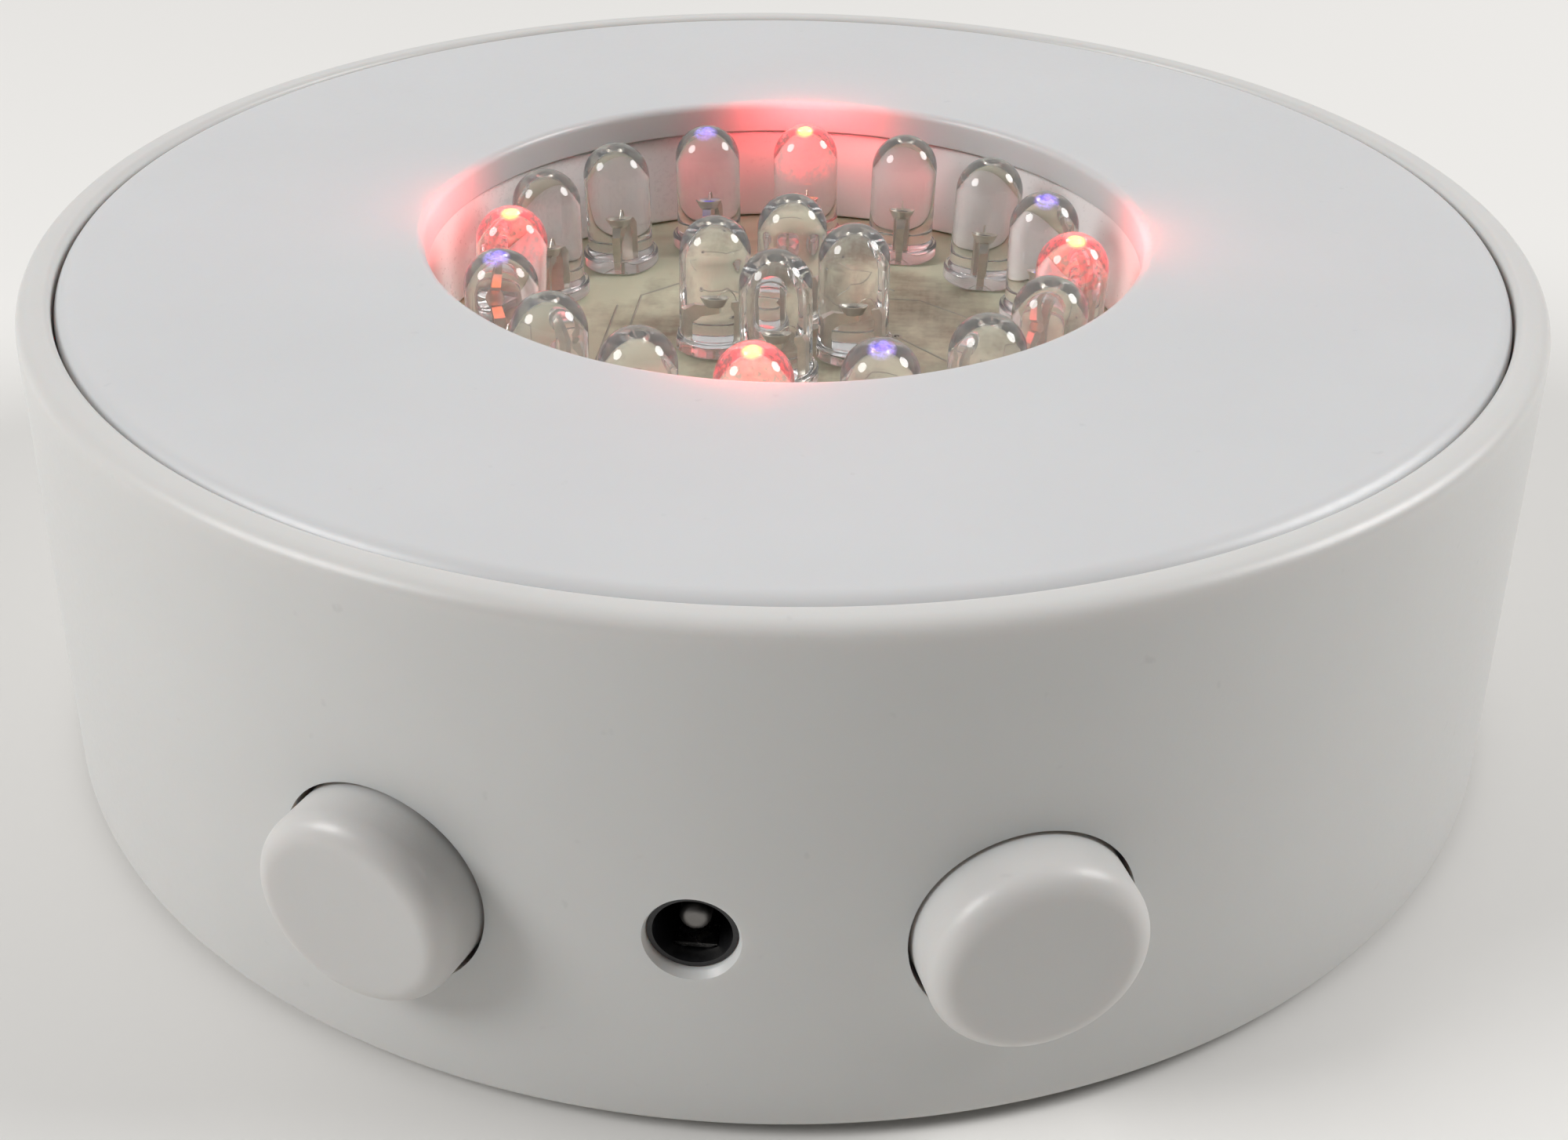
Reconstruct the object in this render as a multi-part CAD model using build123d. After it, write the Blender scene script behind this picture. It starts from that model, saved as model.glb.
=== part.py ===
from build123d import *
from math import cos, radians, sin
import os

# Round table-top light base: a shallow drum with a flat ring-shaped top, a well of 20 LEDs in the middle,
# two push-buttons and a DC socket on the front wall, and a battery bay for three AA cells underneath.
# Millimetres. +Z up, origin at the centre of the circle it stands on. The DC socket faces -Y.

# ---- overall form ----
FOOT_PROUD = 0.8                      # the feet hold the shell this far off the table
SHELL_HEIGHT = 32.1
Z_BOTTOM = FOOT_PROUD                 # bottom edge of the shell
Z_TOP = Z_BOTTOM + SHELL_HEIGHT       # top face of the object
BASE_RADIUS = 51.8                    # outside of the wall at its bottom edge
TOP_RADIUS = 50.2                     # outside of the wall at its top edge
WALL = 2.0
RIM_INNER_RADIUS = 48.1               # the raised rim around the top plate
RIM_FILLET = 1.1
RIM_INNER_FILLET = 0.5

# ---- top plate and light well ----
PLATE_THICKNESS = 2.4
PLATE_RADIUS = 48.0
PLATE_OPENING_RADIUS = 24.5
PLATE_FILLET = 1.2                    # round the plate's outer edge, which makes a soft valley with the rim
PLATE_OPENING_FILLET = 0.6
Z_DECK = Z_TOP - PLATE_THICKNESS      # the deck that the top plate is glued to
DECK_THICKNESS = 1.9
DECK_OPENING_RADIUS = 27.0
WELL_RADIUS = 25.1                    # inside of the well ring, just behind the plate's edge
WELL_WALL = 1.8
WELL_SEAM = 0.25                      # open joint between the plate and the well ring
WELL_FLANGE_RADIUS = 29.6
WELL_FLANGE = 1.6
WELL_LEG_RADIUS = 1.1                 # legs that stand on the LED board
WELL_LEG_CIRCLE = 28.4

# ---- LED board ----
BOARD_THICKNESS = 1.6
Z_LED_BOARD = 23.0                    # top face of the LED board
LED_BOARD_RADIUS = 37.0
LED_BOARD_POST_CIRCLE = 33.0          # where the four posts and screws stand
LED_BOARD_POST_RADIUS = 2.8
POST_ANGLES = (45, 135, 225, 315)
BOARD_SCREW_DEPTH = 3.6               # how far a screw reaches past its board
BOARD_SCREW_HEAD = (2.3, 1.4)         # radius, height
WELL_GAP = 0.15                       # the well ring stops this far above the board

# ---- LEDs (5 mm round) ----
LED_BODY_RADIUS = 2.5
LED_FLANGE_RADIUS = 2.9
LED_FLANGE = 1.0
LED_HEIGHT = 9.5
LED_STAND_OFF = 0.2                   # gap between the board and the flange
LED_LEAD = 0.5
LED_LEAD_OFFSET = 1.27
LED_LEAD_HOLE_RADIUS = 0.5
LED_LEAD_BELOW_BOARD = 1.0
RING_LEAD_LINE = 90                   # direction from cathode to anode, degrees counter-clockwise from +X
CENTRE_LEAD_LINE = 0
CUP_LOW, CUP_HIGH = 3.2, 3.9          # the die's cup on the cathode lead, from the flange's underside
CUP_RADII = (0.4, 0.65)
RING_LED_RADIUS = 19.8
RING_LED_COUNT = 16
CENTRE_LED_RADIUS = 5.0
CENTRE_LED_COUNT = 4
# hand-soldered LEDs lean a little: degrees about X and about Y, by LED, counter-clockwise from +X
RING_LED_LEANS = (
    (0, 1), (1, -1), (0, 2), (1, 1),
    (1, -1), (-1, -1), (2, -1), (0, 0),
    (-2, 4), (-2, -1), (-2, 1), (-1, 1),
    (-2, -1), (-1, 0), (-1, 1), (0, -1),
)
CENTRE_LED_LEANS = ((1, -1), (0, 1), (-1, 1), (2, -1))

# ---- front controls ----
INSIDE = BASE_RADIUS - 10             # holes through the wall are cut between these two distances
OUTSIDE = BASE_RADIUS + 10
Z_BUTTON = 13.5
BUTTON_ANGLE = 19.7                   # each side of the socket, about the vertical axis
BUTTON_RADIUS = 6.1
BUTTON_GAP = 0.25
BUTTON_PROUD = 3.1
BUTTON_EDGE = 1.4                     # rounding of the cap's front edge
BUTTON_FLANGE_RADIUS = 7.4
BUTTON_FLANGE = 1.0
BUTTON_FLANGE_FACE = 48.1             # how far out the flange's front face sits
SWITCH_FACE = 43.6                    # how far out the tact switch's front face sits
SWITCH_SIZE = (7.0, 7.2, 4.2)         # across, up, deep
PLUNGER_RADIUS = 1.7
PLUNGER_PROUD = 1.6
PLUNGER_CLEARANCE = 0.15
PLUNGER_ROOT = 1.4                    # how much of the plunger is inside the switch
PLUNGER_HOLE = 2.0
STEM_RADIUS = 2.2

# ---- DC socket (4.0 x 1.7 mm plug) ----
Z_SOCKET = 14.0
SOCKET_HOLE_RADIUS = 2.45             # hole in the wall, which the nose's collar fills
SOCKET_RADIUS = 2.12
SOCKET_PIN_RADIUS = 0.85
SOCKET_PIN_TIP = 49.75                # how far out the pin's tip reaches
SOCKET_PIN_FILLET = 0.5
SOCKET_PIN_ROOT = 0.4                 # how much thicker the pin's root is
SOCKET_DEPTH_END = 41.5               # the floor of the socket's bore
SOCKET_BODY = (9.0, 8.0)              # across, deep
SOCKET_NOSE_RADIUS = 3.8
SOCKET_NOSE_FACE = 48.85
SOCKET_COLLAR_RADIUS = 2.4
SOCKET_FACE = 50.65                   # front of the collar, just behind the wall's outer surface
SOCKET_BACK = 38.4
# springy blade that presses on the plug's sleeve, in a slot along the floor of the bore
BLADE_HALF_WIDTH = 1.15
BLADE_UNDERSIDE = -1.95               # from the bore's axis
BLADE_TOP = -1.68
BLADE_BACK = SOCKET_DEPTH_END - 2.2
BLADE_FRONT = SOCKET_FACE - 1.0

# ---- control board ----
Z_CONTROL_BOARD = 9.6                 # top face
CONTROL_BOARD_RADIUS = 46.4
CONTROL_BOARD_HALF_WIDTH = 27.0
CONTROL_BOARD_BACK = -21.0
CONTROL_SCREWS = ((-18.5, -26.0), (18.5, -26.0))
CONTROL_SCREW_DEPTH = 2.5
CONTROL_POST_RADIUS = 2.8
CHIP_Y = -30.0
CHIP_SIZE = (6.0, 4.0, 1.5)           # across, along Y, up
CHIP_STAND_OFF = 0.3
CHIP_PIN_PITCH = 1.27
CHIP_PIN = (0.4, 1.0, 0.8)
CHIP_PINS_A_SIDE = 4
RESISTOR_COUNT = 5
RESISTOR_PITCH = 1.9
RESISTOR_SIZE = (1.2, 2.0, 0.55)
RESISTOR_START = (6.5, -32.5)
CAPACITOR_RADIUS = 2.5
CAPACITOR_HEIGHT = 7.0
CAPACITOR_PLACE = (-10.5, -30.5)

# ---- base cover ----
COVER_RECESS = 0.5
COVER_THICKNESS = 2.4
COVER_RADIUS = 49.4
Z_COVER = Z_BOTTOM + COVER_RECESS     # underside of the cover
Z_COVER_TOP = Z_COVER + COVER_THICKNESS
BASE_SCREW_X = 36.0
BASE_SCREW_Y = 25.2
BOSS_RADIUS = 3.2
SCREW_RADIUS = 1.25
SCREW_HEAD_RADIUS = 2.5
SCREW_HEAD = 1.6
SCREW_SUNK = 0.5                      # how far the head lies below the cover's underside
SCREW_SLOT = (3.0, 0.5, 0.8)          # length, width and depth of the cross recess
Z_BASE_SCREW_TIP = 14.5
COVER_PAD_RADIUS = 4.0
COVER_PAD = 1.6
FOOT_RADIUS = 4.5
FOOT_CIRCLE = 42.6
FOOT_RECESS = 0.8

# ---- batteries ----
CELL_RADIUS = 7.25
CELL_LENGTH = 50.5
CELL_NUB_RADIUS = 2.75
CELL_NUB = 1.3
CELL_PITCH = 15.2
CELL_COUNT = 3
Z_CELL = 10.8
BAY_HALF_LENGTH = 29.5
BAY_CENTRE_Y = 7.0
BAY_HALF_WIDTH = 22.9
BAY_WALL = 2.0
Z_BAY_CEILING = 18.2
BAY_CEILING = 1.2
CONTACT = 0.4
CONTACT_WIDTH = 10.0
TAB_HALF_WIDTH = 1.5                  # solder tabs of the two end contacts, up through the bay's ceiling
SPRING_WIRE_RADIUS = 0.4
SPRING_RADIUS = 3.4
SPRING_TURNS = 4

# ---- battery door ----
DOOR_THICKNESS = 2.0
DOOR_LEDGE = 1.2                      # how far the door's edge laps under the bay's walls
DOOR_GAP = 0.2
DOOR_CHAMFER = 1.1
TAB_X = (10.0, 16.0)                  # the two tabs of the front edge, each side of the middle
TAB_LENGTH = 1.7
TAB_THICKNESS = 0.8
THUMB_TAB_HALF_WIDTH = 6.0
THUMB_TAB_LENGTH = 1.8
THUMB_TAB_THICKNESS = 1.6
GRIP_COUNT = 4                        # finger grooves beside the thumb tab
GRIP_PITCH = 2.2
GRIP_WIDTH = 1.0
GRIP_DEPTH = 0.5

nodes = {}


def wall_radius(z):
    """Outside radius of the shell's tapered wall at a height."""
    share = (z - Z_BOTTOM) / SHELL_HEIGHT
    return BASE_RADIUS + share * (TOP_RADIUS - BASE_RADIUS)


def disc(radius, z0, z1, x=0, y=0):
    """Upright cylinder between two heights."""
    return Pos(x, y, z0) * Cylinder(radius, z1 - z0, align=(Align.CENTER, Align.CENTER, Align.MIN))


def block(x0, x1, y0, y1, z0, z1):
    """Box between two corners."""
    centre = Pos((x0 + x1) / 2, (y0 + y1) / 2, (z0 + z1) / 2)
    return centre * Box(x1 - x0, y1 - y0, z1 - z0)


def lathe(points):
    """Solid turned about Z from an outline of (radius, height) points."""
    outline = Plane.XZ * make_face(Polyline(*points, close=True))
    return revolve(outline, Axis.Z)


def polar(radius, angle):
    """Point on a circle about Z, counter-clockwise from +X."""
    return radius * cos(radians(angle)), radius * sin(radians(angle))


def outward(angle, z):
    """Frame of a control: local Z points out of the wall, local Y points up. Angle 0 faces -Y."""
    side = sin(radians(angle))
    ahead = cos(radians(angle))
    return Plane(origin=(0, 0, z), x_dir=(ahead, side, 0), z_dir=(side, -ahead, 0))


def barrel(radius, out0, out1):
    """Cylinder along local Z between two distances from the object's axis."""
    return Pos(0, 0, out0) * Cylinder(radius, out1 - out0, align=(Align.CENTER, Align.CENTER, Align.MIN))


# ---------------------------------------------------------------- housing
def rim_edge(solid, radius):
    """The circular edge of the given radius on a solid's top face."""
    circles = solid.edges().filter_by(GeomType.CIRCLE)
    return [e for e in circles if abs(e.radius - radius) < 0.01 and abs(e.center().Z - Z_TOP) < 0.01]


def make_housing():
    inner_deck_radius = wall_radius(Z_DECK - DECK_THICKNESS) - WALL
    shell = lathe([
        (BASE_RADIUS - WALL, Z_BOTTOM),
        (BASE_RADIUS, Z_BOTTOM),
        (TOP_RADIUS, Z_TOP),
        (RIM_INNER_RADIUS, Z_TOP),
        (RIM_INNER_RADIUS, Z_DECK),
        (DECK_OPENING_RADIUS, Z_DECK),
        (DECK_OPENING_RADIUS, Z_DECK - DECK_THICKNESS),
        (inner_deck_radius, Z_DECK - DECK_THICKNESS),
    ])
    shell = fillet(rim_edge(shell, TOP_RADIUS), RIM_FILLET)
    shell = fillet(rim_edge(shell, RIM_INNER_RADIUS), RIM_INNER_FILLET)
    deck_underside = Z_DECK - DECK_THICKNESS
    for x in (-BASE_SCREW_X, BASE_SCREW_X):
        for y in (-BASE_SCREW_Y, BASE_SCREW_Y):
            shell += disc(BOSS_RADIUS, Z_COVER_TOP + COVER_PAD, deck_underside, x, y)
            shell -= disc(SCREW_RADIUS, Z_COVER_TOP + COVER_PAD - 1, Z_BASE_SCREW_TIP + 1.5, x, y)
    for angle in POST_ANGLES:
        x, y = polar(LED_BOARD_POST_CIRCLE, angle)
        shell += disc(LED_BOARD_POST_RADIUS, Z_LED_BOARD, deck_underside, x, y)
        shell -= disc(SCREW_RADIUS, Z_LED_BOARD - 1, Z_LED_BOARD + BOARD_SCREW_DEPTH + 0.4, x, y)
    for angle in (-BUTTON_ANGLE, BUTTON_ANGLE):
        shell -= outward(angle, Z_BUTTON) * barrel(BUTTON_RADIUS + BUTTON_GAP, INSIDE, OUTSIDE)
    shell -= outward(0, Z_SOCKET) * barrel(SOCKET_HOLE_RADIUS, INSIDE, OUTSIDE)
    nodes["housing_shell"] = shell


def make_top_plate():
    plate = disc(PLATE_RADIUS, Z_DECK, Z_TOP) - disc(PLATE_OPENING_RADIUS, Z_DECK - 1, Z_TOP + 1)
    plate = fillet(rim_edge(plate, PLATE_RADIUS), PLATE_FILLET)
    plate = fillet(rim_edge(plate, PLATE_OPENING_RADIUS), PLATE_OPENING_FILLET)
    nodes["top_plate"] = plate


def make_well_ring():
    flange_top = Z_DECK - DECK_THICKNESS
    outer = WELL_RADIUS + WELL_WALL
    ring = lathe([
        (WELL_RADIUS, Z_LED_BOARD + WELL_GAP),
        (outer, Z_LED_BOARD + WELL_GAP),
        (outer, flange_top - WELL_FLANGE),
        (WELL_FLANGE_RADIUS, flange_top - WELL_FLANGE),
        (WELL_FLANGE_RADIUS, flange_top),
        (outer, flange_top),
        (outer, Z_DECK - WELL_SEAM),
        (WELL_RADIUS, Z_DECK - WELL_SEAM),
    ])
    for angle in (0, 90, 180, 270):
        x, y = polar(WELL_LEG_CIRCLE, angle)
        ring += disc(WELL_LEG_RADIUS, Z_LED_BOARD, flange_top - WELL_FLANGE, x, y)
    nodes["light_well_ring"] = ring


# ---------------------------------------------------------------- LEDs
def led_places():
    """Name, centre and lean of every LED, and the direction of its two leads."""
    places = []
    for i in range(RING_LED_COUNT):
        angle = i * 360 / RING_LED_COUNT
        x, y = polar(RING_LED_RADIUS, angle)
        places.append((f"ring_led_{i + 1:02d}", x, y, RING_LED_LEANS[i], RING_LEAD_LINE))
    for i in range(CENTRE_LED_COUNT):
        angle = i * 360 / CENTRE_LED_COUNT
        x, y = polar(CENTRE_LED_RADIUS, angle)
        places.append((f"centre_led_{i + 1}", x, y, CENTRE_LED_LEANS[i], CENTRE_LEAD_LINE))
    return places


def led_lens():
    """Round lens: flange with a flat, straight body and domed tip. Local Z = 0 is the flange's underside."""
    shoulder = LED_HEIGHT - LED_BODY_RADIUS
    with BuildPart() as lens:
        with BuildSketch(Plane.XZ):
            with BuildLine():
                Polyline(
                    (0, shoulder + LED_BODY_RADIUS),
                    (0, 0),
                    (LED_FLANGE_RADIUS, 0),
                    (LED_FLANGE_RADIUS, LED_FLANGE),
                    (LED_BODY_RADIUS, LED_FLANGE),
                    (LED_BODY_RADIUS, shoulder),
                )
                CenterArc((0, shoulder), LED_BODY_RADIUS, 0, 90)
            make_face()
        revolve(axis=Axis.Z)
    flat = block(-4, -LED_BODY_RADIUS - 0.05, -4, 4, -1, LED_FLANGE)
    return lens.part - flat


def lead_frame():
    """The two leads of an LED: the cathode carries the die's cup on the lens's axis, the anode ends beside it."""
    low = -LED_STAND_OFF - BOARD_THICKNESS - LED_LEAD_BELOW_BOARD
    inner = LED_LEAD_OFFSET - LED_LEAD / 2
    outer = LED_LEAD_OFFSET + LED_LEAD / 2
    cathode_outline = [
        (-outer, low), (-inner, low), (-inner, 1.8), (0.3, 2.8), (0.3, CUP_LOW + 0.1), (-outer, CUP_LOW + 0.1),
    ]
    anode_outline = [(inner, low), (outer, low), (outer, 3.6), (0.85, 3.6), (0.85, 3.2), (inner, 2.8)]
    posts = []
    for outline in (cathode_outline, anode_outline):
        face = Plane.XZ * make_face(Polyline(*outline, close=True))
        posts.append(extrude(face, LED_LEAD / 2, both=True))
    cup = Cone(*CUP_RADII, CUP_HIGH - CUP_LOW, align=(Align.CENTER, Align.CENTER, Align.MIN))
    cathode, anode = posts
    return cathode + Pos(0, 0, CUP_LOW) * cup, anode


def make_leds():
    lens = led_lens()
    posts = lead_frame()
    for post in posts:
        lens -= post
    frames = []
    for name, x, y, lean, turn in led_places():
        place = Pos(x, y, Z_LED_BOARD + LED_STAND_OFF) * Rot(lean[0], lean[1], 0) * Rot(0, 0, turn)
        nodes[name] = place * lens
        frames += [place * post for post in posts]
    nodes["led_lead_frames"] = Compound(children=frames)


def make_led_board():
    low = Z_LED_BOARD - BOARD_THICKNESS
    board = disc(LED_BOARD_RADIUS, low, Z_LED_BOARD)
    high = Z_LED_BOARD
    holes = []
    for _, x, y, _, turn in led_places():
        step_x, step_y = polar(LED_LEAD_OFFSET, turn)
        holes.append(disc(LED_LEAD_HOLE_RADIUS, low - 1, high + 1, x + step_x, y + step_y))
        holes.append(disc(LED_LEAD_HOLE_RADIUS, low - 1, high + 1, x - step_x, y - step_y))
    for angle in POST_ANGLES:
        x, y = polar(LED_BOARD_POST_CIRCLE, angle)
        holes.append(disc(SCREW_RADIUS, low - 1, high + 1, x, y))
    nodes["led_board"] = board - holes


# ---------------------------------------------------------------- front controls
def make_button(name, switch, angle):
    frame = outward(angle, Z_BUTTON)
    face = wall_radius(Z_BUTTON) + BUTTON_PROUD
    cap = barrel(BUTTON_RADIUS, BUTTON_FLANGE_FACE - BUTTON_FLANGE, face)
    cap = fillet(cap.edges().filter_by(GeomType.CIRCLE).group_by(Axis.Z)[-1], BUTTON_EDGE)
    cap += barrel(BUTTON_FLANGE_RADIUS, BUTTON_FLANGE_FACE - BUTTON_FLANGE, BUTTON_FLANGE_FACE)
    cap += barrel(STEM_RADIUS, SWITCH_FACE + PLUNGER_PROUD, BUTTON_FLANGE_FACE)
    nodes[name] = frame * cap

    across, up, deep = SWITCH_SIZE
    low = Z_CONTROL_BOARD - Z_BUTTON
    body = block(-across / 2, across / 2, low, low + up, SWITCH_FACE - deep, SWITCH_FACE)
    body -= barrel(PLUNGER_RADIUS + PLUNGER_CLEARANCE, SWITCH_FACE - PLUNGER_HOLE, SWITCH_FACE + 1)
    nodes[switch + "_body"] = frame * body
    plunger = barrel(PLUNGER_RADIUS, SWITCH_FACE - PLUNGER_ROOT, SWITCH_FACE + PLUNGER_PROUD)
    nodes[switch + "_plunger"] = frame * plunger


def make_socket():
    frame = outward(0, Z_SOCKET)
    across, deep = SOCKET_BODY
    low = Z_CONTROL_BOARD - Z_SOCKET
    body = block(-across / 2, across / 2, low, across / 2, SOCKET_BACK, SOCKET_BACK + deep)
    body += barrel(SOCKET_NOSE_RADIUS, SOCKET_BACK + deep, SOCKET_NOSE_FACE)
    body += barrel(SOCKET_COLLAR_RADIUS, SOCKET_NOSE_FACE, SOCKET_FACE)
    body -= barrel(SOCKET_RADIUS, SOCKET_DEPTH_END, SOCKET_FACE + 1)

    pin = barrel(SOCKET_PIN_RADIUS, SOCKET_DEPTH_END, SOCKET_PIN_TIP)
    pin = fillet(pin.edges().filter_by(GeomType.CIRCLE).group_by(Axis.Z)[-1], SOCKET_PIN_FILLET)
    root = barrel(SOCKET_PIN_RADIUS + SOCKET_PIN_ROOT, SOCKET_BACK - 0.6, SOCKET_DEPTH_END)
    body -= root
    nodes["dc_socket_pin"] = frame * (pin + root)

    half = BLADE_HALF_WIDTH
    blade = block(-half, half, BLADE_UNDERSIDE, BLADE_TOP, BLADE_BACK, BLADE_FRONT)
    body -= block(-half - 0.05, half + 0.05, BLADE_UNDERSIDE - 0.05, BLADE_TOP, BLADE_BACK, BLADE_FRONT + 0.1)
    nodes["dc_socket_blade"] = frame * blade
    nodes["dc_socket_body"] = frame * body


def make_control_board():
    low = Z_CONTROL_BOARD - BOARD_THICKNESS
    board = disc(CONTROL_BOARD_RADIUS, low, Z_CONTROL_BOARD) & block(
        -CONTROL_BOARD_HALF_WIDTH, CONTROL_BOARD_HALF_WIDTH,
        -CONTROL_BOARD_RADIUS - 1, CONTROL_BOARD_BACK, low, Z_CONTROL_BOARD,
    )
    screws = []
    head_radius, head_height = BOARD_SCREW_HEAD
    for x, y in CONTROL_SCREWS:
        board -= disc(SCREW_RADIUS, low - 1, Z_CONTROL_BOARD + 1, x, y)
        head = disc(head_radius, Z_CONTROL_BOARD, Z_CONTROL_BOARD + head_height, x, y)
        screws.append(head + disc(SCREW_RADIUS, low - CONTROL_SCREW_DEPTH, Z_CONTROL_BOARD, x, y))
    nodes["control_board"] = board
    nodes["control_board_screws"] = Compound(children=screws)

    across, along, up = CHIP_SIZE
    z_chip = Z_CONTROL_BOARD + CHIP_STAND_OFF
    chip = block(-across / 2, across / 2, CHIP_Y - along / 2, CHIP_Y + along / 2, z_chip, z_chip + up)
    width, length, height = CHIP_PIN
    for i in range(CHIP_PINS_A_SIDE):
        x = (i - (CHIP_PINS_A_SIDE - 1) / 2) * CHIP_PIN_PITCH
        for side in (-1, 1):
            y = CHIP_Y + side * (along + length) / 2
            chip += Pos(x, y, Z_CONTROL_BOARD + height / 2) * Box(width, length, height)
    nodes["controller_chip"] = chip

    resistors = []
    length, width, height = RESISTOR_SIZE
    x0, y0 = RESISTOR_START
    for i in range(RESISTOR_COUNT):
        x = x0 + i * RESISTOR_PITCH
        resistors.append(block(x, x + length, y0, y0 + width, Z_CONTROL_BOARD, Z_CONTROL_BOARD + height))
    nodes["board_resistors"] = Compound(children=resistors)

    can = disc(CAPACITOR_RADIUS, Z_CONTROL_BOARD, Z_CONTROL_BOARD + CAPACITOR_HEIGHT, *CAPACITOR_PLACE)
    nodes["board_capacitor"] = fillet(can.edges().group_by(Axis.Z)[-1], 0.4)


# ---------------------------------------------------------------- base
def bay_box(margin, z0, z1):
    """Block with the bay's outline, grown by a margin on every side."""
    length = BAY_HALF_LENGTH + margin
    width = BAY_HALF_WIDTH + margin
    return block(-length, length, BAY_CENTRE_Y - width, BAY_CENTRE_Y + width, z0, z1)


def make_base_cover():
    cover = disc(COVER_RADIUS, Z_COVER, Z_COVER_TOP)
    cover += bay_box(BAY_WALL, Z_COVER_TOP, Z_BAY_CEILING + BAY_CEILING)
    z_door_top = Z_COVER + DOOR_THICKNESS
    cover -= bay_box(0, Z_COVER - 1, Z_BAY_CEILING)
    cover -= bay_box(DOOR_LEDGE, Z_COVER - 1, z_door_top + 0.1)

    # slots for the solder tabs of the two end contacts
    for side, row in ((-1, 0), (1, 2)):
        y = cell_row(row)[0]
        x0, x1 = sorted((side * (BAY_HALF_LENGTH - CONTACT), side * BAY_HALF_LENGTH))
        cover -= block(x0, x1, y - TAB_HALF_WIDTH, y + TAB_HALF_WIDTH, Z_BAY_CEILING - 1, Z_BAY_CEILING + 2)

    # slots for the door's two front tabs, deep enough for the tabs to swing
    front = BAY_CENTRE_Y - BAY_HALF_WIDTH - DOOR_LEDGE
    slot_low, slot_high = Z_COVER + 1.0, Z_COVER + 3.4
    for side in (-1, 1):
        x0, x1 = sorted((side * (TAB_X[0] - 0.3), side * (TAB_X[1] + 0.3)))
        cover -= block(x0, x1, front - TAB_LENGTH - 0.6, front + 2.0, slot_low, slot_high)
    rear = BAY_CENTRE_Y + BAY_HALF_WIDTH + DOOR_LEDGE
    notch = THUMB_TAB_HALF_WIDTH + 1.5
    notch_top = Z_COVER + THUMB_TAB_THICKNESS + 0.3
    cover -= block(-notch, notch, rear - 1, rear + THUMB_TAB_LENGTH + 1.2, Z_COVER - 1, notch_top)

    for x in (-BASE_SCREW_X, BASE_SCREW_X):
        for y in (-BASE_SCREW_Y, BASE_SCREW_Y):
            cover += disc(COVER_PAD_RADIUS, Z_COVER_TOP, Z_COVER_TOP + COVER_PAD, x, y)
            cover -= disc(SCREW_HEAD_RADIUS + 0.4, Z_COVER - 1, Z_COVER + SCREW_HEAD + SCREW_SUNK, x, y)
            cover -= disc(SCREW_RADIUS, Z_COVER, Z_COVER_TOP + COVER_PAD + 1, x, y)
    for angle in (0, 90, 180, 270):
        x, y = polar(FOOT_CIRCLE, angle)
        cover -= disc(FOOT_RADIUS + 0.2, Z_COVER - 1, Z_COVER + FOOT_RECESS, x, y)
    for x, y in CONTROL_SCREWS:
        post_top = Z_CONTROL_BOARD - BOARD_THICKNESS
        cover += disc(CONTROL_POST_RADIUS, Z_COVER_TOP, post_top, x, y)
        cover -= disc(SCREW_RADIUS, post_top - 3.0, post_top + 1, x, y)
    nodes["base_cover"] = cover


def make_feet():
    for i, angle in enumerate((0, 90, 180, 270)):
        x, y = polar(FOOT_CIRCLE, angle)
        foot = disc(FOOT_RADIUS, 0, Z_COVER + FOOT_RECESS, x, y)
        nodes[f"rubber_foot_{i + 1}"] = fillet(foot.edges().group_by(Axis.Z)[0], 0.4)


def make_screws():
    base = []
    length, width, depth = SCREW_SLOT
    head_top = Z_COVER + SCREW_HEAD + SCREW_SUNK
    for x in (-BASE_SCREW_X, BASE_SCREW_X):
        for y in (-BASE_SCREW_Y, BASE_SCREW_Y):
            head_low = head_top - SCREW_HEAD
            head = disc(SCREW_HEAD_RADIUS, head_low, head_top, x, y)
            head -= Pos(x, y, head_low) * Box(length, width, 2 * depth)
            head -= Pos(x, y, head_low) * Box(width, length, 2 * depth)
            base.append(head + disc(SCREW_RADIUS, head_top, Z_BASE_SCREW_TIP, x, y))
    nodes["base_screws"] = Compound(children=base)

    board = []
    low = Z_LED_BOARD - BOARD_THICKNESS
    head_radius, head_height = BOARD_SCREW_HEAD
    for angle in POST_ANGLES:
        x, y = polar(LED_BOARD_POST_CIRCLE, angle)
        head = disc(head_radius, low - head_height, low, x, y)
        board.append(head + disc(SCREW_RADIUS, low, Z_LED_BOARD + BOARD_SCREW_DEPTH, x, y))
    nodes["led_board_screws"] = Compound(children=board)


def make_battery_door():
    z_top = Z_COVER + DOOR_THICKNESS
    plate = bay_box(DOOR_LEDGE - DOOR_GAP, Z_COVER, z_top)
    front = BAY_CENTRE_Y - BAY_HALF_WIDTH - DOOR_LEDGE + DOOR_GAP
    rear = BAY_CENTRE_Y + BAY_HALF_WIDTH + DOOR_LEDGE - DOOR_GAP
    lower_front = plate.edges().filter_by(Axis.X).group_by(Axis.Z)[0].sort_by(Axis.Y)[0]
    plate = chamfer(lower_front, DOOR_CHAMFER)
    for side in (-1, 1):
        x0, x1 = sorted((side * TAB_X[0], side * TAB_X[1]))
        plate += block(x0, x1, front - TAB_LENGTH, front + 0.5, z_top - TAB_THICKNESS, z_top)
    half = THUMB_TAB_HALF_WIDTH
    plate += block(-half, half, rear - 0.5, rear + THUMB_TAB_LENGTH, Z_COVER, Z_COVER + THUMB_TAB_THICKNESS)
    for i in range(GRIP_COUNT):
        y = rear - 3.0 - i * GRIP_PITCH
        plate -= Pos(0, y, Z_COVER) * Box(2 * half, GRIP_WIDTH, 2 * GRIP_DEPTH)
    nodes["battery_door"] = plate


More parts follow.
